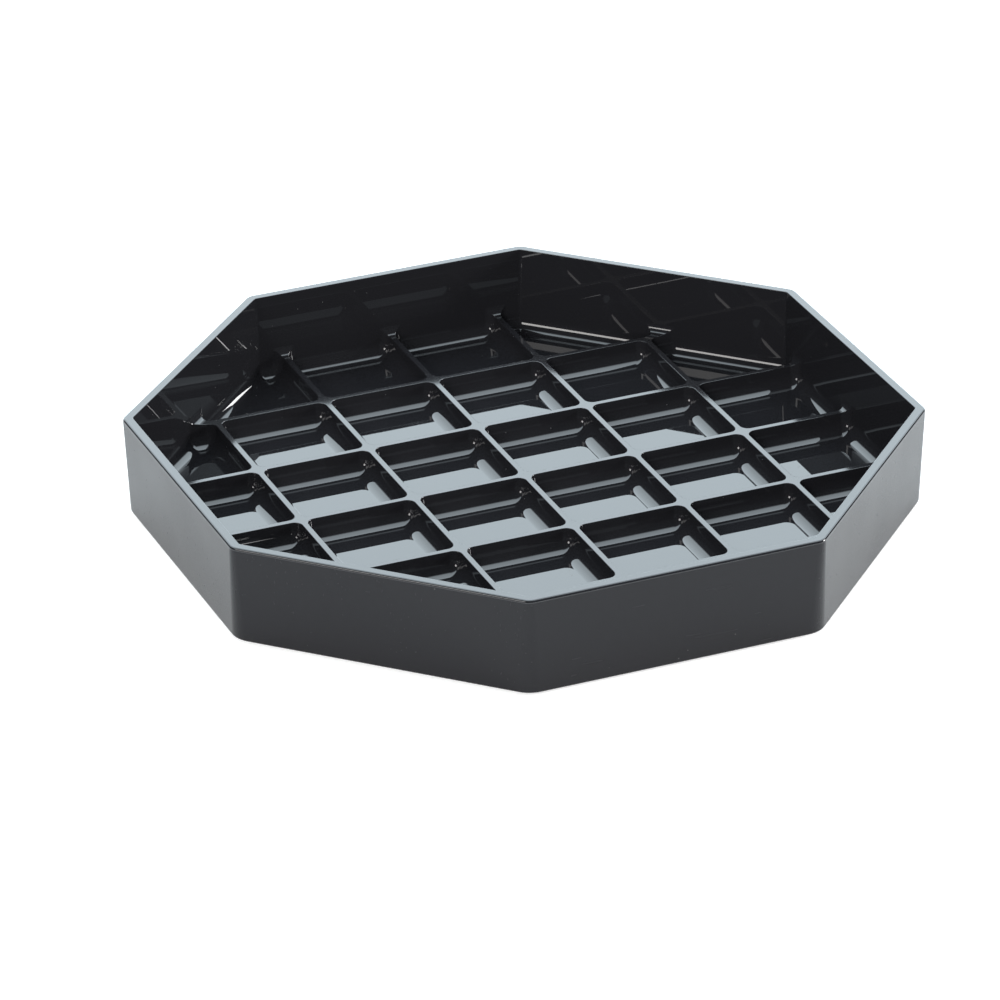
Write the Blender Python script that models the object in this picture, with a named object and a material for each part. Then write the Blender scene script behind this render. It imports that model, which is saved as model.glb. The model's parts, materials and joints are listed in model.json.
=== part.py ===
"""Octagonal drip tray: one glossy plastic moulding with a square grid of low ribs, on four rubber pads.

Metres, +Z up. The origin is at the tray's centre, on the surface that the pads stand on. The octagon
has flats on +X, -X, +Y and -Y, and the ribs run along X and Y. The front is -Y.
"""

import math

import bmesh
import bpy
from mathutils import Vector

# The grid and the wall around it
GRID_PITCH = 0.0254
CELLS_ACROSS = 6
RIM_THICKNESS = 0.0022
TRAY_HEIGHT = 0.0215
OUTER_DRAFT = math.radians(1.7)
INNER_DRAFT = math.radians(1.5)
INNER_CORNER_RADIUS = 0.0013
RIM_EDGE_RADIUS = 0.0003
BASE_EDGE_RADIUS = 0.0005

# The outer corners are rounder at the base than at the rim
OUTER_CORNER_RADIUS = 0.0028
BASE_CORNER_RADIUS = 0.0060

# The floor and the ribs, as heights above the moulding's underside
FLOOR_THICKNESS = 0.0022
RIB_TOP_HEIGHT = 0.0069
RIB_TOP_WIDTH = 0.0013
RIB_DRAFT = math.radians(5.0)
CELL_CORNER_RADIUS = 0.0020
FOOT_FILLET = 0.0034

# The rubber pads, in shallow recesses under the floor
PAD_DIAMETER = 0.0100
PAD_PROUD = 0.0005
PAD_RECESS_DEPTH = 0.0008
PAD_CENTRE_RADIUS = 0.0600
PAD_EDGE_RADIUS = 0.0003
PAD_SEGMENTS = 32
GAP = 0.0003

# Facets of the round stretches
ARC_STEP = math.radians(30.0)
RIM_CORNER_STEP = math.radians(12.0)
FILLET_SEGMENTS = 3
BASE_EDGE_SEGMENTS = 3
MIN_CORNER_RADIUS = 0.0004

INNER_HALF_WIDTH = GRID_PITCH * CELLS_ACROSS / 2
OUTER_HALF_WIDTH = INNER_HALF_WIDTH + RIM_THICKNESS
UNDERSIDE_Z = PAD_PROUD
RIM_Z = UNDERSIDE_Z + TRAY_HEIGHT
FLOOR_Z = UNDERSIDE_Z + FLOOR_THICKNESS
RIB_TOP_Z = UNDERSIDE_Z + RIB_TOP_HEIGHT
WALL_AT_RIB_TOP = INNER_HALF_WIDTH - (RIM_Z - RIB_TOP_Z) * math.tan(INNER_DRAFT)
SIDE_ANGLES = [math.radians(45.0 * k) for k in range(8)]

PADS = {
    "foot_front_left": 225.0,
    "foot_front_right": 315.0,
    "foot_rear_left": 135.0,
    "foot_rear_right": 45.0,
}


class Side:
    """One straight side of a convex outline: the line at a distance along its outward normal."""

    def __init__(self, angle, distance, is_wall):
        self.angle = angle
        self.distance = distance
        self.is_wall = is_wall

    def inset(self, amount):
        return Side(self.angle, self.distance - amount, self.is_wall)

    def meet(self, other):
        """The point where this side's line crosses the other's."""
        turn = math.sin(other.angle - self.angle)
        x = self.distance * math.sin(other.angle) - other.distance * math.sin(self.angle)
        y = other.distance * math.cos(self.angle) - self.distance * math.cos(other.angle)
        return Vector((x / turn, y / turn))


def rounded_outline(sides, radius_of, step):
    """Points round a convex outline with its corners rounded, as (point, lies on the tray's wall)."""
    outline = []
    for side, following in zip(sides, sides[1:] + sides[:1]):
        radius = radius_of(side, following)
        centre = side.inset(radius).meet(following.inset(radius))
        turn = (following.angle - side.angle) % math.tau
        count = max(2, math.ceil(turn / step - 1e-6))
        for k in range(count + 1):
            angle = side.angle + turn * k / count
            on_wall = (side.is_wall or k == count) and (following.is_wall or k == 0)
            outline.append((centre + radius * Vector((math.cos(angle), math.sin(angle))), on_wall))
    return outline


def octagon(half_width, radius):
    """A rounded regular octagon, as plain points."""
    sides = [Side(angle, half_width, True) for angle in SIDE_ANGLES]
    return [point for point, _ in rounded_outline(sides, lambda *_: radius, RIM_CORNER_STEP)]


def drop_idle_sides(sides):
    """Leave out every side that doesn't touch the shape the others enclose."""
    sides = list(sides)
    k = 0
    while k < len(sides):
        side = sides[k]
        start = sides[k - 1].meet(side)
        end = side.meet(sides[(k + 1) % len(sides)])
        along = Vector((-math.sin(side.angle), math.cos(side.angle)))
        if (end - start).dot(along) > 0:
            k += 1
        else:
            sides.pop(k)
            k = 0
    return sides


def reaches_diagonal(angle, column, row):
    """Whether the cell's corner on this diagonal lies past the tray's wall."""
    x = column + 1 if math.cos(angle) > 0 else column
    y = row + 1 if math.sin(angle) > 0 else row
    return (x * math.cos(angle) + y * math.sin(angle)) * GRID_PITCH > WALL_AT_RIB_TOP


def cell_sides(column, row):
    """The sides of one cell at rib-top level. Column and row 0 are just past the centre, on + sides.

    The outermost ribs along Y stop at the outermost ribs along X, so the cells beyond those reach
    round into the octagon's corners.
    """
    last = CELLS_ACROSS // 2 - 1
    in_end_row = row in (last, -last - 1)
    sides = []
    for k, angle in enumerate(SIDE_ANGLES):
        if k % 2:
            if reaches_diagonal(angle, column, row):
                sides.append(Side(angle, WALL_AT_RIB_TOP, True))
            continue
        along_x = k in (0, 4)
        index = column if along_x else row
        steps = index + 1 if k in (0, 2) else -index
        if steps > last or (along_x and in_end_row and steps == last):
            sides.append(Side(angle, WALL_AT_RIB_TOP, True))
        else:
            sides.append(Side(angle, steps * GRID_PITCH - RIB_TOP_WIDTH / 2, False))
    return drop_idle_sides(sides)


def in_corner(column, row):
    """Whether a square of the grid is only a sliver in one of the octagon's corners."""
    ends = (CELLS_ACROSS // 2 - 1, -CELLS_ACROSS // 2)
    return column in ends and row in ends


def cell_levels():
    """The heights of a cell's outlines from its mouth down, each with its fillet's run."""
    levels = [(RIB_TOP_Z, 0.0)]
    for k in range(FILLET_SEGMENTS + 1):
        angle = math.pi / 2 * k / FILLET_SEGMENTS
        z = FLOOR_Z + FOOT_FILLET * (1 - math.sin(angle))
        levels.append((z, FOOT_FILLET * (1 - math.cos(angle))))
    return levels


def cell_outline(sides, z, fillet_run):
    """A cell's outline at one height: its sides close in with the draft and with the foot fillet."""

    def radius_of(side, following):
        radius = INNER_CORNER_RADIUS if side.is_wall and following.is_wall else CELL_CORNER_RADIUS
        return max(radius - fillet_run, MIN_CORNER_RADIUS)

    inset_sides = []
    for side in sides:
        draft = INNER_DRAFT if side.is_wall else RIB_DRAFT
        inset_sides.append(side.inset((RIB_TOP_Z - z) * math.tan(draft) + fillet_run))
    return rounded_outline(inset_sides, radius_of, ARC_STEP)


def add_loop(bm, points, z):
    return [bm.verts.new((x, y, z)) for x, y in points]


def bridge(bm, lower, upper):
    """Quads between two loops with the same number of points, both counter-clockwise from above."""
    for k in range(len(lower)):
        following = (k + 1) % len(lower)
        bm.faces.new((lower[k], lower[following], upper[following], upper[k]))


def fill_open_edges(bm, z):
    """Close the flat region at one height, round all of its holes."""
    flat = 1e-7
    edges = []
    for edge in bm.edges:
        if edge.is_boundary and all(abs(vert.co.z - z) < flat for vert in edge.verts):
            edges.append(edge)
    bmesh.ops.triangle_fill(bm, use_beauty=True, use_dissolve=False, edges=edges)


def add_cell(bm, column, row):
    """One cell's walls, foot fillet and floor. Gives back its mouth's vertices that lie on the wall."""
    sides = cell_sides(column, row)
    outlines = [(cell_outline(sides, z, fillet_run), z) for z, fillet_run in cell_levels()]
    loops = [add_loop(bm, [point for point, _ in outline], z) for outline, z in outlines]
    for upper, lower in zip(loops, loops[1:]):
        bridge(bm, upper, lower)
    bm.faces.new(loops[-1])
    mouth, _ = outlines[0]
    return [vert for vert, (_, on_wall) in zip(loops[0], mouth) if on_wall]


def add_inner_wall(bm, wall_verts):
    """The wall above the ribs, from the cells' mouths up to the rim."""
    foot = sorted(wall_verts, key=lambda vert: math.atan2(vert.co.y, vert.co.x))
    top_z = RIM_Z - RIM_EDGE_RADIUS
    top_half_width = INNER_HALF_WIDTH - RIM_EDGE_RADIUS * math.tan(INNER_DRAFT)
    grow = top_half_width / WALL_AT_RIB_TOP
    top = add_loop(bm, [(vert.co.x * grow, vert.co.y * grow) for vert in foot], top_z)
    grow = (INNER_HALF_WIDTH + RIM_EDGE_RADIUS) / WALL_AT_RIB_TOP
    edge = add_loop(bm, [(vert.co.x * grow, vert.co.y * grow) for vert in foot], RIM_Z)
    bridge(bm, top, foot)
    bridge(bm, edge, top)


def outer_levels():
    """The heights of the outside's outlines from the underside up, each with its edge's inset."""
    levels = []
    for k in range(BASE_EDGE_SEGMENTS + 1):
        turn = math.pi / 2 * k / BASE_EDGE_SEGMENTS
        z = UNDERSIDE_Z + BASE_EDGE_RADIUS * (1 - math.cos(turn))
        levels.append((z, BASE_EDGE_RADIUS * (1 - math.sin(turn))))
    levels.append((RIM_Z - RIM_EDGE_RADIUS, 0.0))
    levels.append((RIM_Z, RIM_EDGE_RADIUS))
    return levels


def add_outer_wall(bm):
    """The drafted outside, whose corners grow rounder towards the base."""
    widest_z = RIM_Z - RIM_EDGE_RADIUS
    loops = []
    for z, inset in outer_levels():
        down = max(0.0, widest_z - z)
        half_width = OUTER_HALF_WIDTH - down * math.tan(OUTER_DRAFT) - inset
        share = down / (widest_z - UNDERSIDE_Z)
        radius = OUTER_CORNER_RADIUS + (BASE_CORNER_RADIUS - OUTER_CORNER_RADIUS) * share - inset
        loops.append(add_loop(bm, octagon(half_width, radius), z))
    for lower, upper in zip(loops, loops[1:]):
        bridge(bm, lower, upper)


def circle(centre, radius):
    points = []
    for k in range(PAD_SEGMENTS):
        angle = math.tau * k / PAD_SEGMENTS
        points.append(centre + radius * Vector((math.cos(angle), math.sin(angle))))
    return points


def pad_centre(bearing):
    angle = math.radians(bearing)
    return PAD_CENTRE_RADIUS * Vector((math.cos(angle), math.sin(angle)))


def add_pad_recesses(bm):
    """A shallow round recess in the underside for each pad."""
    for bearing in PADS.values():
        points = circle(pad_centre(bearing), PAD_DIAMETER / 2 + GAP)
        mouth = add_loop(bm, points, UNDERSIDE_Z)
        ceiling = add_loop(bm, points, UNDERSIDE_Z + PAD_RECESS_DEPTH)
        bridge(bm, ceiling, mouth)
        bm.faces.new(reversed(ceiling))


def material(name, colour, roughness):
    """A plain Principled material with one colour and one roughness."""
    new = bpy.data.materials.new(name)
    new.use_nodes = True
    shader = new.node_tree.nodes["Principled BSDF"]
    shader.inputs["Base Color"].default_value = (*colour, 1.0)
    shader.inputs["Roughness"].default_value = roughness
    shader.inputs["Metallic"].default_value = 0.0
    return new


def add_object(name, bm, look):
    mesh = bpy.data.meshes.new(name)
    bmesh.ops.recalc_face_normals(bm, faces=bm.faces)
    bm.to_mesh(mesh)
    bm.free()
    mesh.materials.append(look)
    mesh.shade_smooth()
    mesh.set_sharp_from_angle(angle=math.radians(32.0))
    new = bpy.data.objects.new(name, mesh)
    bpy.context.scene.collection.objects.link(new)
    return new


def make_tray(look):
    bm = bmesh.new()
    half = CELLS_ACROSS // 2
    wall_verts = []
    for column in range(-half, half):
        for row in range(-half, half):
            if not in_corner(column, row):
                wall_verts += add_cell(bm, column, row)
    add_inner_wall(bm, wall_verts)
    add_outer_wall(bm)
    add_pad_recesses(bm)
    for z in (RIB_TOP_Z, RIM_Z, UNDERSIDE_Z):
        fill_open_edges(bm, z)
    return add_object("tray", bm, look)


def make_foot(name, bearing, look):
    """A flat rubber disc whose upper face stops short of the recess's ceiling."""
    thickness = PAD_PROUD + PAD_RECESS_DEPTH - GAP
    bm = bmesh.new()
    bmesh.ops.create_cone(
        bm,
        cap_ends=True,
        segments=PAD_SEGMENTS,
        radius1=PAD_DIAMETER / 2,
        radius2=PAD_DIAMETER / 2,
        depth=thickness,
    )
    lower_edges = [edge for edge in bm.edges if all(vert.co.z < 0 for vert in edge.verts)]
    bmesh.ops.bevel(
        bm,
        geom=lower_edges,
        offset=PAD_EDGE_RADIUS,
        segments=2,
        profile=0.5,
        affect="EDGES",
    )
    foot = add_object(name, bm, look)
    centre = pad_centre(bearing)
    foot.location = (centre.x, centre.y, thickness / 2)
    return foot


for old in list(bpy.data.objects):
    bpy.data.objects.remove(old, do_unlink=True)

make_tray(material("black_plastic", (0.012, 0.012, 0.014), 0.08))
for foot_name, foot_bearing in PADS.items():
    make_foot(foot_name, foot_bearing, material(foot_name, (0.030, 0.030, 0.032), 0.70))
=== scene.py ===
"""Looks of the octagonal drip tray: a fine, fully rounded moulding, rubber pads, studio and camera.

Metres, +Z up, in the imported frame. Sizes come from the frame's boxes and mounts, with the moulding's
radii and drafts named below.
"""
import json
import math

import bmesh
import bpy
from mathutils import Matrix, Vector
from mathutils.geometry import delaunay_2d_cdt


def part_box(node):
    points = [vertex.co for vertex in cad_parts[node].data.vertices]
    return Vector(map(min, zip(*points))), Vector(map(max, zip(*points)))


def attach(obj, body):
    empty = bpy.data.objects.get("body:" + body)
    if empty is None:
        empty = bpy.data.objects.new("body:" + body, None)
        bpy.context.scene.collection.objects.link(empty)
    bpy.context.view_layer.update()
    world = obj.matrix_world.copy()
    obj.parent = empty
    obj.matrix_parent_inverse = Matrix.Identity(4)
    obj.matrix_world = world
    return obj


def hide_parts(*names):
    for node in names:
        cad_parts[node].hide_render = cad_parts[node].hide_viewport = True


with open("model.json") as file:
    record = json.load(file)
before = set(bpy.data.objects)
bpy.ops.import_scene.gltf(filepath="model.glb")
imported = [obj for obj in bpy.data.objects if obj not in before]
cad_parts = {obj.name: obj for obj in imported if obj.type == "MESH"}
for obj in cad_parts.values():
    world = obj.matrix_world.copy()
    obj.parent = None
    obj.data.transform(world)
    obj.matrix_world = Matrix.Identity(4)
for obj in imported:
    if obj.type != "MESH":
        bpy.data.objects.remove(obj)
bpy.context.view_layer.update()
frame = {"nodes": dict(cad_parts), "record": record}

TRAY_LOW, TRAY_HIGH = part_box("tray")
MOUNTS = {mount["name"]: mount for mount in frame["record"]["mounts"]}

# The moulding's proportions. Its overall width and height and the rib tops come from the frame.
RIM_THICKNESS = 0.0022
CELLS_ACROSS = 6
FLOOR_THICKNESS = 0.0022
RIB_TOP_WIDTH = 0.0013
OUTER_DRAFT = math.radians(1.7)
INNER_DRAFT = math.radians(1.5)
RIB_DRAFT = math.radians(5.0)
OUTER_CORNER_RADIUS = 0.0028
BASE_CORNER_RADIUS = 0.0060
INNER_CORNER_RADIUS = 0.0013
CELL_CORNER_RADIUS = 0.0020
FOOT_FILLET = 0.0034
RIM_OUTER_EDGE = 0.0006
RIM_INNER_EDGE = 0.00015
BASE_EDGE_RADIUS = 0.0005
RIB_EDGE_RADIUS = 0.00012
RIB_END_FILLET = 0.0020
MIN_CORNER_RADIUS = 0.0003

# The pads and their recesses, as in the CAD
PAD_RECESS_DEPTH = 0.0008
PAD_GAP = 0.0003
PAD_EDGE_RADIUS = 0.0003

# How finely the round stretches are cut
CORNER_STEP = math.radians(7.5)
FILLET_SEGMENTS = 12
EDGE_SEGMENTS = 4
END_FILLET_ROWS = 8
END_FILLET_STEP = 0.0003
END_FILLET_REACH = 0.0066
PAD_SEGMENTS = 96

OUTER_HALF_WIDTH = TRAY_HIGH.x
INNER_HALF_WIDTH = OUTER_HALF_WIDTH - RIM_THICKNESS
GRID_PITCH = 2 * INNER_HALF_WIDTH / CELLS_ACROSS
UNDERSIDE_Z = TRAY_LOW.z
RIM_Z = TRAY_HIGH.z
FLOOR_Z = UNDERSIDE_Z + FLOOR_THICKNESS
RIB_TOP_Z = MOUNTS["rib_top_rest"]["pos_m"][2]
END_Z = RIB_TOP_Z + RIB_END_FILLET
WALL_AT_END = INNER_HALF_WIDTH - (RIM_Z - END_Z) * math.tan(INNER_DRAFT)
SIDE_ANGLES = [math.radians(45.0 * k) for k in range(8)]
UP = Vector((0.0, 0.0, 1.0))

# Tolerances: how near points merge, lie on a wall or lie in an outline, and the step for a normal
MERGE_DISTANCE = 1e-9
ON_WALL_DISTANCE = 1e-5
IN_OUTLINE_DISTANCE = 2e-5
NORMAL_STEP = 0.002

# The tray's surface zones, in the order of its materials
GLOSS, OUTSIDE, TOPS, EDGE = range(4)

# The plastic's fine detail, in metres where it's a size
BLACK = (0.010, 0.010, 0.0115)
PLASTIC_IOR = 1.5
SMUDGE_SIZE = 0.015
SMUDGE_RANGE = (0.3, 0.7)
POLISH_LOW = 0.93
POLISH_HIGH = 1.08
WAVE_SIZE = 0.020
WAVE_DEPTH = 0.000012
GRAIN_SIZE = 0.0005
HAIRLINE_SIZE = 0.0004
HAIRLINE_STRETCH = (0.03, 1.0, 0.4)
HAIRLINE_RANGE = (0.70, 0.74)
HAIRLINE_ROUGHNESS = 0.03
SPECK_SPACING = 0.0020
SPECK_SHARE = 0.18
SPECK_EDGE = (0.05, 0.09)
DUST_COLOUR = (0.05, 0.05, 0.05)
DUST_ROUGHNESS = 0.4

# The rubber's fine detail
RUBBER_COLOUR = (0.03, 0.03, 0.032)
RUBBER_SHINE = 0.3
RUBBER_ROUGHNESS = 0.7
RUBBER_ROUGHNESS_SPREAD = 0.1
MOTTLE_SIZE = 0.0015
MOTTLE_RANGE = (0.35, 0.75)
MOTTLE_CONTRAST = 2.2
PIT_SIZE = 0.0003
PIT_DEPTH = 0.00004

# The floor that the tray stands on
FLOOR_HALF_SIZE = 6.0
FLOOR_COLOUR = (0.58, 0.58, 0.58)
FLOOR_GLOW = 0.56
FLOOR_ROUGHNESS = 0.9
FLOOR_SHINE = 0.1
FIBRE_SIZE = 0.003
FIBRE_CONTRAST = 1.04

# The studio: light levels are relative to white, and the backdrop's edges are by direction
SKY_COLOUR = (0.87, 1.0, 1.075)
BACKDROP_LIGHT = 4.3
ROOM_LIGHT = 0.05
OVERHEAD_EDGE = (math.radians(82), math.radians(99))
SIDE_FADE = (0.20, 0.60)
SIDE_FADE_LEVEL = 0.78
SIDE_EDGE = (0.60, 0.71)

# Each softbox: its name, direction, width, height, light level, colour, and whether it's mirrored
SOFTBOX_DISTANCE = 2.5
SOFTBOXES = (
    ("left_softbox", Vector((-0.770, -0.293, 0.567)), 0.88, 0.55, 9.5, (1.0, 0.98, 0.96), True),
    ("right_softbox", Vector((0.937, -0.216, 0.276)), 0.88, 0.60, 50.0, (1.0, 1.0, 1.0), True),
    ("fill", Vector((-0.50, -0.75, 0.40)), 2.0, 2.0, 7.0, (1.0, 1.0, 1.0), False),
)

# The camera: its distance and where it aims are in tray widths
CAMERA_AZIMUTH = math.radians(-22.696)
CAMERA_ELEVATION = math.radians(27.027)
CAMERA_ROLL = math.radians(-0.634)
CAMERA_DISTANCE = 8.2541
CAMERA_AIM = (-0.02654, 0.02398)
CAMERA_CLIP_START = 0.01
FOCAL_TO_WIDTH = 6.0864
SENSOR = 36.0


def bearing(angle):
    """The horizontal unit vector at an angle from +X."""
    return Vector((math.cos(angle), math.sin(angle), 0.0))


class Side:
    """One straight side of a convex outline: the line at a distance along its outward normal."""

    def __init__(self, angle, distance, is_wall, draft=0.0):
        self.angle = angle
        self.distance = distance
        self.is_wall = is_wall
        self.draft = draft

    def inset(self, amount):
        return Side(self.angle, self.distance - amount, self.is_wall, self.draft)

    def meet(self, other):
        """The point where this side's line crosses the other's."""
        turn = math.sin(other.angle - self.angle)
        x = self.distance * math.sin(other.angle) - other.distance * math.sin(self.angle)
        y = other.distance * math.cos(self.angle) - self.distance * math.cos(other.angle)
        return Vector((x / turn, y / turn, 0.0))


class Spot:
    """A point of an outline: where it is, which way is outwards, its side's draft, if it's on a wall."""

    def __init__(self, point, angle, draft, on_wall):
        self.point = point
        self.angle = angle
        self.draft = draft
        self.on_wall = on_wall

    def reach(self):
        return self.point.dot(bearing(self.angle))


def rounded_outline(sides, radius_of):
    """The spots round a convex outline with rounded corners."""
    outline = []
    for side, following in zip(sides, sides[1:] + sides[:1]):
        radius = radius_of(side, following)
        centre = side.inset(radius).meet(following.inset(radius))
        turn = (following.angle - side.angle) % math.tau
        count = max(3, math.ceil(turn / CORNER_STEP - 1e-6))
        for k in range(count + 1):
            angle = side.angle + turn * k / count
            draft = side.draft + (following.draft - side.draft) * k / count
            on_wall = (side.is_wall or k == count) and (following.is_wall or k == 0)
            outline.append(Spot(centre + radius * bearing(angle), angle, draft, on_wall))
    return outline


def drop_idle_sides(sides):
    """Leave out every side that doesn't touch the shape the others enclose."""
    sides = list(sides)
    k = 0
    while k < len(sides):
        side = sides[k]
        start = sides[k - 1].meet(side)
        end = side.meet(sides[(k + 1) % len(sides)])
        if (end - start).dot(bearing(side.angle + math.pi / 2)) > 0:
            k += 1
        else:
            sides.pop(k)
            k = 0
    return sides


def reaches_diagonal(angle, column, row):
    """Whether the cell's corner on this diagonal lies past the tray's wall."""
    x = column + 1 if math.cos(angle) > 0 else column
    y = row + 1 if math.sin(angle) > 0 else row
    return (x * math.cos(angle) + y * math.sin(angle)) * GRID_PITCH > WALL_AT_END


def cell_sides(column, row):
    """The sides of one cell at its mouth. Column and row 0 are just past the centre, on + sides.

    The outermost ribs along Y stop at the outermost ribs along X, so the cells beyond those reach
    round into the octagon's corners.
    """
    last = CELLS_ACROSS // 2 - 1
    in_end_row = row in (last, -last - 1)
    sides = []
    for k, angle in enumerate(SIDE_ANGLES):
        if k % 2:
            if reaches_diagonal(angle, column, row):
                sides.append(Side(angle, WALL_AT_END, True, INNER_DRAFT))
            continue
        along_x = k in (0, 4)
        index = column if along_x else row
        steps = index + 1 if k in (0, 2) else -index
        if steps > last or (along_x and in_end_row and steps == last):
            sides.append(Side(angle, WALL_AT_END, True, INNER_DRAFT))
        else:
            sides.append(Side(angle, steps * GRID_PITCH - RIB_TOP_WIDTH / 2, False, RIB_DRAFT))
    return drop_idle_sides(sides)


def in_corner(column, row):
    """Whether a square of the grid is only a sliver in one of the octagon's corners."""
    ends = (CELLS_ACROSS // 2 - 1, -CELLS_ACROSS // 2)
    return column in ends and row in ends


class Skin:
    """A mesh in the making whose every vertex carries its own exact normal."""

    def __init__(self):
        self.bm = bmesh.new()
        self.normals = []

    def vert(self, point, normal):
        vert = self.bm.verts.new(point)
        self.normals.append(normal.normalized())
        vert.index = len(self.normals) - 1
        return vert

    def face(self, verts, zone):
        face = self.bm.faces.new(verts)
        face.material_index = zone
        face.smooth = True
        return face

    def bridge(self, lower, upper, zone):
        """Quads between two closed loops of equal length, both counter-clockwise from above."""
        for k in range(len(lower)):
            following = (k + 1) % len(lower)
            self.face((lower[k], lower[following], upper[following], upper[k]), zone)

    def fill_between(self, loops, zone, facing_up):
        """Close a flat region whose outer and inner borders are the given loops."""
        verts = [vert for loop in loops for vert in loop]
        edges = []
        start = 0
        for loop in loops:
            edges += [(start + k, start + (k + 1) % len(loop)) for k in range(len(loop))]
            start += len(loop)
        holes = [list(range(sum(map(len, loops[:k])), sum(map(len, loops[:k + 1]))))
                 for k in range(1, len(loops))]
        points = [vert.co.xy for vert in verts]
        made = delaunay_2d_cdt(points, edges, holes, 1, MERGE_DISTANCE)
        self.add_triangles(made, verts, zone, facing_up)

    def add_triangles(self, made, verts, zone, facing_up):
        """Faces for the triangles that lie in none of the given holes."""
        _, _, faces, came_from, _, of_faces = made
        for face, holes in zip(faces, of_faces):
            if holes:
                continue
            corners = [verts[came_from[k][0]] for k in face]
            a, b, c = (corner.co for corner in corners[:3])
            upwards = (b - a).cross(c - a).z > 0
            if upwards != facing_up:
                corners.reverse()
            self.face(corners, zone)

    def finish(self, name, materials):
        mesh = bpy.data.meshes.new(name)
        self.bm.to_mesh(mesh)
        self.bm.free()
        for look in materials:
            mesh.materials.append(look)
        mesh.normals_split_custom_set_from_vertices(self.normals)
        new = bpy.data.objects.new(name, mesh)
        bpy.context.scene.collection.objects.link(new)
        return new


def wall_gap(point):
    """How far a point is from the nearest wall, at the height where the rib ends' fillet meets it."""
    reach = max(point.dot(bearing(angle)) for angle in SIDE_ANGLES)
    return WALL_AT_END - reach


def rib_top(point):
    """Height and normal of the ribs' upper face, which sweeps up into the wall at each rib's end."""
    gap = wall_gap(point)
    if gap >= RIB_END_FILLET:
        return RIB_TOP_Z, UP
    nearest = max(SIDE_ANGLES, key=lambda angle: point.dot(bearing(angle)))
    across = min(1.0, 1 - gap / RIB_END_FILLET)
    rise = math.sqrt(1 - across * across)
    height = RIB_TOP_Z + RIB_END_FILLET * (1 - rise)
    return height, -bearing(nearest) * across + UP * rise


def fillet_tilt(draft, share):
    """The tilt of the foot fillet's normal above the horizon, from the wall's draft to upright."""
    return draft + (math.pi / 2 - draft) * share


def cell_outline(sides, drop=0.0, share=None, widen=0.0):
    """A cell's outline: below its mouth by drop, or on the foot fillet at a share of its turn.

    Widen opens the sides that are ribs.
    """

    def radius_of(side, following):
        radius = INNER_CORNER_RADIUS if side.is_wall and following.is_wall else CELL_CORNER_RADIUS
        if share is None:
            return radius
        tilt = fillet_tilt((side.draft + following.draft) / 2, share)
        return max(radius * math.cos(tilt), MIN_CORNER_RADIUS)

    moved = []
    for side in sides:
        if share is not None:
            down = RIB_TOP_Z - FLOOR_Z - FOOT_FILLET
            tilt = fillet_tilt(side.draft, share)
            run = 1 / math.cos(side.draft) - math.cos(tilt)
            moved.append(side.inset(down * math.tan(side.draft) + FOOT_FILLET * run))
        else:
            moved.append(side.inset(drop * math.tan(side.draft) - (0.0 if side.is_wall else widen)))
    return rounded_outline(moved, radius_of)


def fillet_ring(sides, share):
    """The outline on the foot fillet with every spot at its own height."""
    ring = cell_outline(sides, share=share)
    for spot in ring:
        spot.point.z = FLOOR_Z + FOOT_FILLET * (1 - math.sin(fillet_tilt(spot.draft, share)))
    return ring


def add_ring(skin, ring, lower, upper):
    """A loop through a ring of spots, with normals from how the outline shrinks between two others."""
    loop = []
    for spot, below, above in zip(ring, lower, upper):
        shrink = above.reach() - below.reach()
        tilt = math.atan2(shrink, above.point.z - below.point.z)
        loop.append(skin.vert(spot.point, UP * math.sin(tilt) - bearing(spot.angle) * math.cos(tilt)))
    return loop


def add_cell(skin, column, row):
    """One cell, from the rounded edge of its mouth down to its floor.

    Gives back the mouth's loop and which of its vertices lie on the tray's wall.
    """
    sides = cell_sides(column, row)
    top = cell_outline(sides, widen=RIB_EDGE_RADIUS)
    rim = cell_outline(sides)
    loops = []
    for k in range(EDGE_SEGMENTS + 1):
        turn = math.pi / 2 * k / EDGE_SEGMENTS
        loop = []
        for outer, inner in zip(top, rim):
            height, normal = rib_top(outer.point)
            point = outer.point.lerp(inner.point, math.sin(turn))
            point.z = height - RIB_EDGE_RADIUS * (1 - math.cos(turn))
            lean = turn * (1 - outer.draft / (math.pi / 2))
            facing = normal * math.cos(lean) - bearing(outer.angle) * math.sin(lean)
            loop.append(skin.vert(point, facing))
        loops.append(loop)
    for k in range(FILLET_SEGMENTS + 1):
        share = k / FILLET_SEGMENTS
        lower = fillet_ring(sides, min(1.0, share + NORMAL_STEP))
        upper = fillet_ring(sides, max(0.0, share - NORMAL_STEP))
        loops.append(add_ring(skin, fillet_ring(sides, share), lower, upper))
    for upper, lower in zip(loops, loops[1:]):
        skin.bridge(upper, lower, GLOSS)
    skin.face(loops[-1], GLOSS)
    return loops[0], [spot.on_wall for spot in top]


def rib_ends():
    """Where every rib's centre line meets the wall, with that wall's direction."""
    half = CELLS_ACROSS // 2
    ends = []
    for index in range(-half + 1, half):
        for direction in (SIDE_ANGLES[k] for k in (0, 2, 4, 6)):
            line = bearing(direction + math.pi / 2) * index * GRID_PITCH
            facing = [angle for angle in SIDE_ANGLES if math.cos(angle - direction) > 0.1]
            runs = [
                (WALL_AT_END - line.dot(bearing(angle))) / math.cos(angle - direction) for angle in facing
            ]
            run = min(runs)
            ends.append((line + bearing(direction) * run, facing[runs.index(run)]))
    return ends


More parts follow.
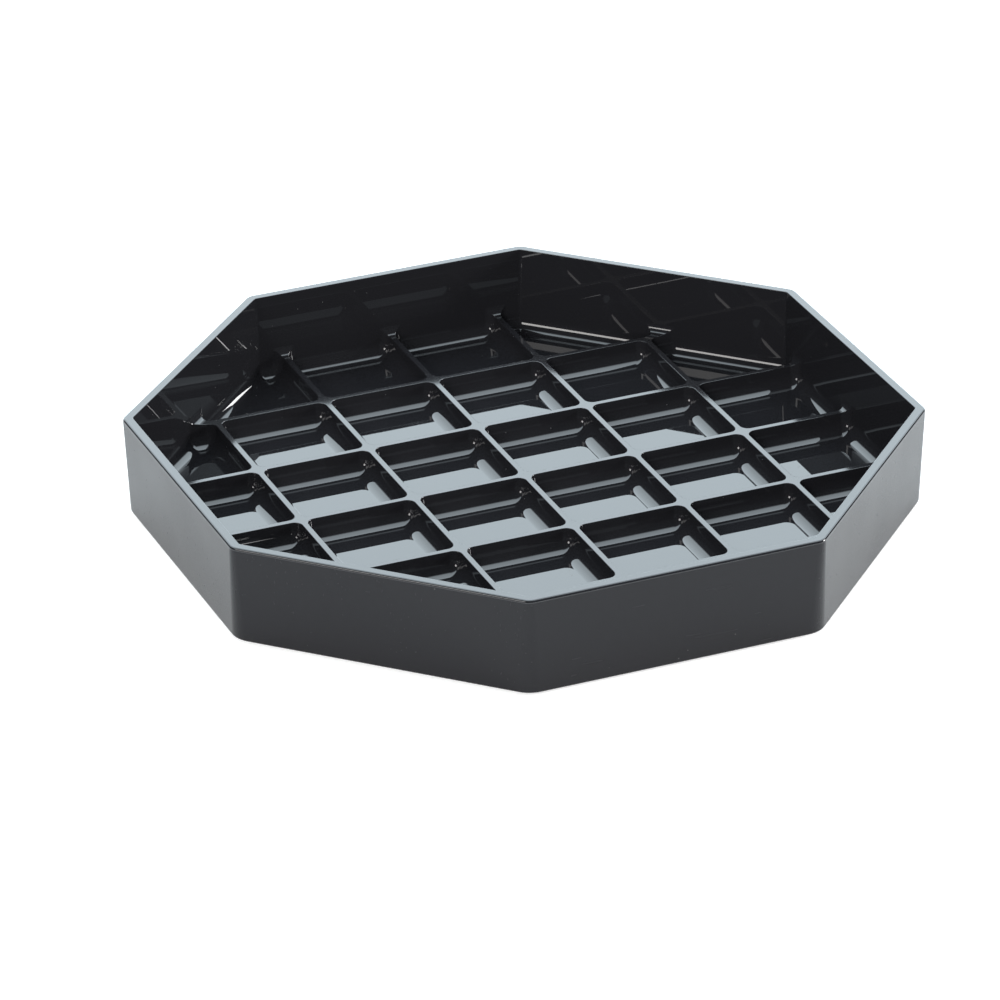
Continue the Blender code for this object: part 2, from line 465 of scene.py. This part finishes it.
def end_fillet_points(taken):
    """Points over the ribs' ends, in rows that close up towards the wall, clear of the cells' mouths."""
    points = []
    steps = round(END_FILLET_REACH / END_FILLET_STEP)
    for end, angle in rib_ends():
        for r in range(1, END_FILLET_ROWS + 1):
            gap = RIB_END_FILLET * (1 - math.cos(math.pi / 2 * r / END_FILLET_ROWS))
            for c in range(-steps, steps + 1):
                shift = bearing(angle + math.pi / 2) * END_FILLET_STEP * c
                point = end + shift - bearing(angle) * gap
                if wall_gap(point) > ON_WALL_DISTANCE and not taken(point):
                    points.append(point)
    return points


def inside(point, loop):
    """Whether a point lies in or on a convex counter-clockwise loop, give or take a hair."""
    for k, vert in enumerate(loop):
        a, b = loop[k - 1].co, vert.co
        turn = (b.x - a.x) * (point.y - a.y) - (b.y - a.y) * (point.x - a.x)
        if turn < -IN_OUTLINE_DISTANCE * (b - a).length:
            return False
    return True


def add_rib_tops(skin, mouths):
    """The ribs' upper face, between all the mouths and up to the wall at every rib's end."""
    verts, edges, holes = [], [], []
    wall_verts = []
    for number, (loop, on_wall) in enumerate(mouths):
        start = len(verts)
        verts += loop
        holes.append(list(range(start, start + len(loop))))
        for k, vert in enumerate(loop):
            if on_wall[k]:
                wall_verts.append((math.atan2(vert.co.y, vert.co.x), start + k, number))
    wall_verts.sort()
    for (_, a, cell_a), (_, b, cell_b) in zip(wall_verts, wall_verts[1:] + wall_verts[:1]):
        if cell_a != cell_b:
            edges.append((a, b))

    def taken(point):
        return any(inside(point, loop) for loop, _ in mouths)

    for point in end_fillet_points(taken):
        height, normal = rib_top(point)
        verts.append(skin.vert(Vector((point.x, point.y, height)), normal))
    points = [vert.co.xy for vert in verts]
    made = delaunay_2d_cdt(points, edges, holes, 1, MERGE_DISTANCE)
    skin.add_triangles(made, verts, TOPS, True)
    return [verts[k] for _, k, _ in wall_verts]


def ring_like(skin, foot, half_width, z, tilt):
    """A ring over the wall's foot, at another height, that keeps its points in line with the foot's."""
    grow = half_width / WALL_AT_END
    loop = []
    for vert in foot:
        outwards = Vector((*skin.normals[vert.index].xy, 0.0)).normalized() * -1
        normal = -outwards * math.cos(tilt) + UP * math.sin(tilt)
        loop.append(skin.vert(Vector((vert.co.x * grow, vert.co.y * grow, z)), normal))
    return loop


def add_inner_wall(skin, foot):
    """The wall above the ribs and the rounded inner edge of the rim."""
    loops = [foot]
    edge = RIM_INNER_EDGE
    for k in range(EDGE_SEGMENTS + 1):
        turn = math.pi / 2 * k / EDGE_SEGMENTS
        z = RIM_Z - edge * (1 - math.sin(turn))
        half_width = INNER_HALF_WIDTH + edge * (1 - math.cos(turn))
        loops.append(ring_like(skin, foot, half_width, z, turn))
    for lower, upper in zip(loops, loops[1:]):
        skin.bridge(upper, lower, GLOSS)
    return loops[-1]


def octagon(half_width, radius, z):
    """The spots of a level octagon with rounded corners."""
    sides = [Side(angle, half_width, True) for angle in SIDE_ANGLES]
    ring = rounded_outline(sides, lambda *_: radius)
    for spot in ring:
        spot.point.z = z
    return ring


def add_outer_wall(skin):
    """The outside with its rounded lower and upper edges. Gives back its lowest and highest loops."""
    fall = RIM_Z - UNDERSIDE_Z
    base = octagon(OUTER_HALF_WIDTH - fall * math.tan(OUTER_DRAFT), BASE_CORNER_RADIUS, UNDERSIDE_Z)
    rim = octagon(OUTER_HALF_WIDTH, OUTER_CORNER_RADIUS, RIM_Z)
    loops = []
    for end, edge, way in ((base, BASE_EDGE_RADIUS, 1), (rim, RIM_OUTER_EDGE, -1)):
        for k in range(EDGE_SEGMENTS + 1):
            turn = math.pi / 2 * (k if way > 0 else EDGE_SEGMENTS - k) / EDGE_SEGMENTS
            loop = []
            for spot, low, high in zip(end, base, rim):
                lean = math.atan2(high.reach() - low.reach(), fall)
                sweep = turn * (1 - way * lean / (math.pi / 2))
                out = bearing(spot.angle)
                point = spot.point - out * (edge * (1 - math.sin(turn)))
                point.z += way * edge * (1 - math.cos(turn))
                point += out * math.tan(lean) * way * edge * (1 - math.cos(turn))
                loop.append(skin.vert(point, out * math.sin(sweep) - UP * way * math.cos(sweep)))
            loops.append(loop)
    for k, (lower, upper) in enumerate(zip(loops, loops[1:])):
        skin.bridge(lower, upper, EDGE if k > EDGE_SEGMENTS else OUTSIDE)
    return loops[0], loops[-1]


def foot_boxes():
    """Each foot's node with its box."""
    return {node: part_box(node) for node in frame["nodes"] if node.startswith("foot_")}


def circle(skin, centre, radius, z, normal_of):
    """A level round loop, counter-clockwise from above, whose normals come from the way outwards."""
    loop = []
    for k in range(PAD_SEGMENTS):
        out = bearing(math.tau * k / PAD_SEGMENTS)
        point = centre + out * radius
        point.z = z
        loop.append(skin.vert(point, normal_of(out)))
    return loop


def add_recesses(skin):
    """A shallow round recess in the underside round each pad. Gives back their mouths."""
    mouths = []
    for low, high in foot_boxes().values():
        centre = (low + high) / 2
        radius = (high.x - low.x) / 2 + PAD_GAP
        mouth = circle(skin, centre, radius, UNDERSIDE_Z, lambda out: -UP)
        lip = circle(skin, centre, radius, UNDERSIDE_Z, lambda out: -out)
        wall = circle(skin, centre, radius, UNDERSIDE_Z + PAD_RECESS_DEPTH, lambda out: -out)
        ceiling = circle(skin, centre, radius, UNDERSIDE_Z + PAD_RECESS_DEPTH, lambda out: -UP)
        skin.bridge(wall, lip, OUTSIDE)
        skin.face(list(reversed(ceiling)), OUTSIDE)
        mouths.append(mouth)
    return mouths


def make_tray(looks):
    skin = Skin()
    half = CELLS_ACROSS // 2
    squares = [(column, row) for column in range(-half, half) for row in range(-half, half)]
    mouths = [add_cell(skin, *square) for square in squares if not in_corner(*square)]
    foot = add_rib_tops(skin, mouths)
    rim_inner = add_inner_wall(skin, foot)
    underside, rim_outer = add_outer_wall(skin)
    skin.fill_between([rim_outer, rim_inner], TOPS, True)
    skin.fill_between([underside, *add_recesses(skin)], OUTSIDE, False)
    return skin.finish("tray_moulding", looks)


def make_pad(name, low, high, look):
    """A rubber pad: a disc with rounded edges."""
    skin = Skin()
    centre = (low + high) / 2
    radius = (high.x - low.x) / 2
    loops = []
    for k in range(EDGE_SEGMENTS + 1):
        turn = math.pi / 2 * k / EDGE_SEGMENTS
        loops.append(circle(
            skin, centre, radius - PAD_EDGE_RADIUS * (1 - math.sin(turn)),
            low.z + PAD_EDGE_RADIUS * (1 - math.cos(turn)),
            lambda out, turn=turn: out * math.sin(turn) - UP * math.cos(turn),
        ))
    for k in range(EDGE_SEGMENTS + 1):
        turn = math.pi / 2 * k / EDGE_SEGMENTS
        loops.append(circle(
            skin, centre, radius - PAD_EDGE_RADIUS / 2 * (1 - math.cos(turn)),
            high.z - PAD_EDGE_RADIUS / 2 * (1 - math.sin(turn)),
            lambda out, turn=turn: out * math.cos(turn) + UP * math.sin(turn),
        ))
    for lower, upper in zip(loops, loops[1:]):
        skin.bridge(lower, upper, 0)
    skin.face(list(reversed(loops[0])), 0)
    skin.face(loops[-1], 0)
    return skin.finish(name, [look])


def math_node(nodes, links, operation, *inputs):
    """A math node with each input either a socket to link or a constant."""
    node = nodes.new("ShaderNodeMath")
    node.operation = operation
    for socket, value in zip(node.inputs, inputs):
        if isinstance(value, (int, float)):
            socket.default_value = value
        else:
            links.new(value, socket)
    return node.outputs[0]


def ramp_node(nodes, links, value, start, end, low, high):
    """A smooth step of a value from low to high."""
    node = nodes.new("ShaderNodeMapRange")
    node.interpolation_type = "SMOOTHSTEP"
    links.new(value, node.inputs["Value"])
    for name, number in (("From Min", start), ("From Max", end), ("To Min", low), ("To Max", high)):
        node.inputs[name].default_value = number
    return node.outputs[0]


def dot_node(nodes, links, direction, axis):
    """How far a direction goes along an axis."""
    node = nodes.new("ShaderNodeVectorMath")
    node.operation = "DOT_PRODUCT"
    links.new(direction, node.inputs[0])
    node.inputs[1].default_value = axis
    return node.outputs["Value"]


def coordinates_node(nodes, links, stretch):
    """The object's own coordinates in metres, stretched along its axes."""
    mapping = nodes.new("ShaderNodeMapping")
    mapping.inputs["Scale"].default_value = stretch
    links.new(nodes.new("ShaderNodeTexCoord").outputs["Object"], mapping.inputs["Vector"])
    return mapping.outputs["Vector"]


def noise_node(nodes, links, grain, detail, stretch=(1.0, 1.0, 1.0)):
    """Noise from 0 to 1 whose features are about the size of the grain, in metres."""
    node = nodes.new("ShaderNodeTexNoise")
    node.inputs["Scale"].default_value = 1 / grain
    node.inputs["Detail"].default_value = detail
    links.new(coordinates_node(nodes, links, stretch), node.inputs["Vector"])
    return node.outputs[0]


def speck_node(nodes, links, spacing, share):
    """Small round specks in some of the cells of a scatter: 1 on a speck, 0 between them."""
    node = nodes.new("ShaderNodeTexVoronoi")
    node.inputs["Scale"].default_value = 1 / spacing
    links.new(coordinates_node(nodes, links, (1.0, 1.0, 1.0)), node.inputs["Vector"])
    near = ramp_node(nodes, links, node.outputs["Distance"], *SPECK_EDGE, 1.0, 0.0)
    chosen = math_node(nodes, links, "LESS_THAN", node.outputs["Color"], share)
    return math_node(nodes, links, "MULTIPLY", near, chosen)


def bump_node(nodes, links, height, depth, under=None):
    """A bump of a given depth in metres, over another bump or the bare surface."""
    node = nodes.new("ShaderNodeBump")
    node.inputs["Distance"].default_value = depth
    links.new(height, node.inputs["Height"])
    if under:
        links.new(under, node.inputs["Normal"])
    return node.outputs["Normal"]


def mix_colours(nodes, links, share, first, second):
    """The first colour where the share is 0, and the second where it's 1."""
    node = nodes.new("ShaderNodeMix")
    node.data_type = "RGBA"
    links.new(share, node.inputs[0])
    node.inputs[6].default_value = (*first, 1.0)
    node.inputs[7].default_value = (*second, 1.0)
    return node.outputs[2]


def moulded(name, colour, roughness, shine, grain_depth):
    """Moulded plastic: slightly wavy, unevenly polished, with surface grain, hairlines and fine dust."""
    look = bpy.data.materials.new(name)
    look.use_nodes = True
    nodes, links = look.node_tree.nodes, look.node_tree.links
    shader = nodes["Principled BSDF"]
    shader.inputs["IOR"].default_value = PLASTIC_IOR
    shader.inputs["Specular IOR Level"].default_value = shine
    cloud = noise_node(nodes, links, SMUDGE_SIZE, 4.0)
    low, high = roughness * POLISH_LOW, roughness * POLISH_HIGH
    polish = ramp_node(nodes, links, cloud, *SMUDGE_RANGE, low, high)
    streaks = noise_node(nodes, links, HAIRLINE_SIZE, 1.0, HAIRLINE_STRETCH)
    hairs = ramp_node(nodes, links, streaks, *HAIRLINE_RANGE, 0.0, HAIRLINE_ROUGHNESS)
    specks = speck_node(nodes, links, SPECK_SPACING, SPECK_SHARE)
    worn = math_node(nodes, links, "ADD", polish, hairs)
    dusty = math_node(nodes, links, "MULTIPLY_ADD", specks, DUST_ROUGHNESS, worn)
    links.new(dusty, shader.inputs["Roughness"])
    links.new(mix_colours(nodes, links, specks, colour, DUST_COLOUR), shader.inputs["Base Color"])
    waves = bump_node(nodes, links, noise_node(nodes, links, WAVE_SIZE, 1.0), WAVE_DEPTH)
    grain = bump_node(nodes, links, noise_node(nodes, links, GRAIN_SIZE, 2.0), grain_depth, waves)
    links.new(grain, shader.inputs["Normal"])
    return look


def rubbery(name, colour, roughness):
    """Soft rubber: mottled, matte, finely pitted and dusty."""
    look = bpy.data.materials.new(name)
    look.use_nodes = True
    nodes, links = look.node_tree.nodes, look.node_tree.links
    shader = nodes["Principled BSDF"]
    shader.inputs["Specular IOR Level"].default_value = RUBBER_SHINE
    cloud = noise_node(nodes, links, MOTTLE_SIZE, 4.0)
    pale = tuple(level * MOTTLE_CONTRAST for level in colour)
    share = ramp_node(nodes, links, cloud, *MOTTLE_RANGE, 0.0, 1.0)
    links.new(mix_colours(nodes, links, share, colour, pale), shader.inputs["Base Color"])
    low, high = roughness - RUBBER_ROUGHNESS_SPREAD, roughness + RUBBER_ROUGHNESS_SPREAD
    links.new(ramp_node(nodes, links, cloud, *SMUDGE_RANGE, low, high), shader.inputs["Roughness"])
    pits = noise_node(nodes, links, PIT_SIZE, 3.0)
    links.new(bump_node(nodes, links, pits, PIT_DEPTH), shader.inputs["Normal"])
    return look


def lit_paper(name):
    """A pale matte sheet that glows a little of its own, with a trace of fibre."""
    look = bpy.data.materials.new(name)
    look.use_nodes = True
    nodes, links = look.node_tree.nodes, look.node_tree.links
    shader = nodes["Principled BSDF"]
    shader.inputs["Roughness"].default_value = FLOOR_ROUGHNESS
    shader.inputs["Specular IOR Level"].default_value = FLOOR_SHINE
    shader.inputs["Emission Color"].default_value = (1.0, 1.0, 1.0, 1.0)
    shader.inputs["Emission Strength"].default_value = FLOOR_GLOW
    fibre = noise_node(nodes, links, FIBRE_SIZE, 3.0)
    paler = tuple(level * FIBRE_CONTRAST for level in FLOOR_COLOUR)
    links.new(mix_colours(nodes, links, fibre, FLOOR_COLOUR, paler), shader.inputs["Base Color"])
    return look


def make_sky():
    """A bright backdrop that curves up and over the tray, and a dim room everywhere else."""
    scene = bpy.context.scene
    world = bpy.data.worlds.new("studio")
    scene.world = world
    world.use_nodes = True
    nodes, links = world.node_tree.nodes, world.node_tree.links
    background = nodes["Background"]
    background.inputs["Color"].default_value = (*SKY_COLOUR, 1.0)
    direction = nodes.new("ShaderNodeTexCoord").outputs["Generated"]
    away = Vector((math.sin(-CAMERA_AZIMUTH), math.cos(CAMERA_AZIMUTH), 0))
    height = dot_node(nodes, links, direction, UP)
    depth = dot_node(nodes, links, direction, away)
    aside = math_node(nodes, links, "ABSOLUTE", dot_node(nodes, links, direction, away.cross(UP)))
    overhead = math_node(nodes, links, "ARCTAN2", height, depth)
    lit = math_node(
        nodes, links, "MULTIPLY",
        ramp_node(nodes, links, overhead, *OVERHEAD_EDGE, 1.0, 0.0),
        math_node(
            nodes, links, "MULTIPLY",
            ramp_node(nodes, links, aside, *SIDE_FADE, 1.0, SIDE_FADE_LEVEL),
            ramp_node(nodes, links, aside, *SIDE_EDGE, 1.0, 0.0),
        ),
    )
    strength = ramp_node(nodes, links, lit, 0.0, 1.0, ROOM_LIGHT, BACKDROP_LIGHT)
    links.new(strength, background.inputs["Strength"])
    scene.view_settings.view_transform = "Standard"


def make_softbox(name, direction, width, height, radiance, colour, mirrored):
    """A rectangular softbox a few metres away that faces the tray."""
    data = bpy.data.lights.new(name, "AREA")
    data.shape = "RECTANGLE"
    data.size = width
    data.size_y = height
    data.color = colour
    data.energy = radiance * math.pi * width * height
    light = bpy.data.objects.new(name, data)
    light.location = direction.normalized() * SOFTBOX_DISTANCE
    light.rotation_euler = direction.to_track_quat("Z", "Y").to_euler()
    light.visible_glossy = mirrored
    bpy.context.scene.collection.objects.link(light)


def make_studio():
    make_sky()
    for softbox in SOFTBOXES:
        make_softbox(*softbox)


def make_floor():
    mesh = bpy.data.meshes.new("floor")
    size = FLOOR_HALF_SIZE
    corners = [(-size, -size, 0), (size, -size, 0), (size, size, 0), (-size, size, 0)]
    mesh.from_pydata(corners, [], [(0, 1, 2, 3)])
    floor = bpy.data.objects.new("floor", mesh)
    bpy.context.scene.collection.objects.link(floor)
    mesh.materials.append(lit_paper("floor_white"))


def make_camera():
    """A long lens from the front left, aimed a little left of and behind the tray's centre."""
    data = bpy.data.cameras.new("camera")
    data.sensor_width = SENSOR
    data.lens = SENSOR * FOCAL_TO_WIDTH
    data.clip_start = CAMERA_CLIP_START
    camera = bpy.data.objects.new("camera", data)
    bpy.context.scene.collection.objects.link(camera)
    bpy.context.scene.camera = camera
    width = 2 * OUTER_HALF_WIDTH
    aim_x, aim_y = CAMERA_AIM
    target = Vector((aim_x * width, aim_y * width, UNDERSIDE_Z))
    back = Vector((
        math.sin(CAMERA_AZIMUTH) * math.cos(CAMERA_ELEVATION),
        -math.cos(CAMERA_AZIMUTH) * math.cos(CAMERA_ELEVATION),
        math.sin(CAMERA_ELEVATION),
    ))
    camera.location = target + back * CAMERA_DISTANCE * width
    turn = (-back).to_track_quat("-Z", "Y").to_matrix() @ Matrix.Rotation(CAMERA_ROLL, 3, "Z")
    camera.rotation_euler = turn.to_euler()


looks = [
    moulded("gloss_inside", BLACK, roughness=0.02, shine=0.5, grain_depth=0.0),
    moulded("satin_outside", BLACK, roughness=0.25, shine=0.18, grain_depth=0.0000006),
    moulded("satin_tops", BLACK, roughness=0.10, shine=0.5, grain_depth=0.0000004),
    moulded("polished_edge", BLACK, roughness=0.06, shine=0.5, grain_depth=0.0),
]
tray = make_tray(looks)
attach(tray, "root")
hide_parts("tray")
rubber = rubbery("rubber", RUBBER_COLOUR, RUBBER_ROUGHNESS)
for node, (low, high) in foot_boxes().items():
    pad = make_pad(node.replace("foot", "pad"), low, high, rubber)
    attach(pad, "root")
    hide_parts(node)

make_floor()
make_camera()
make_studio()
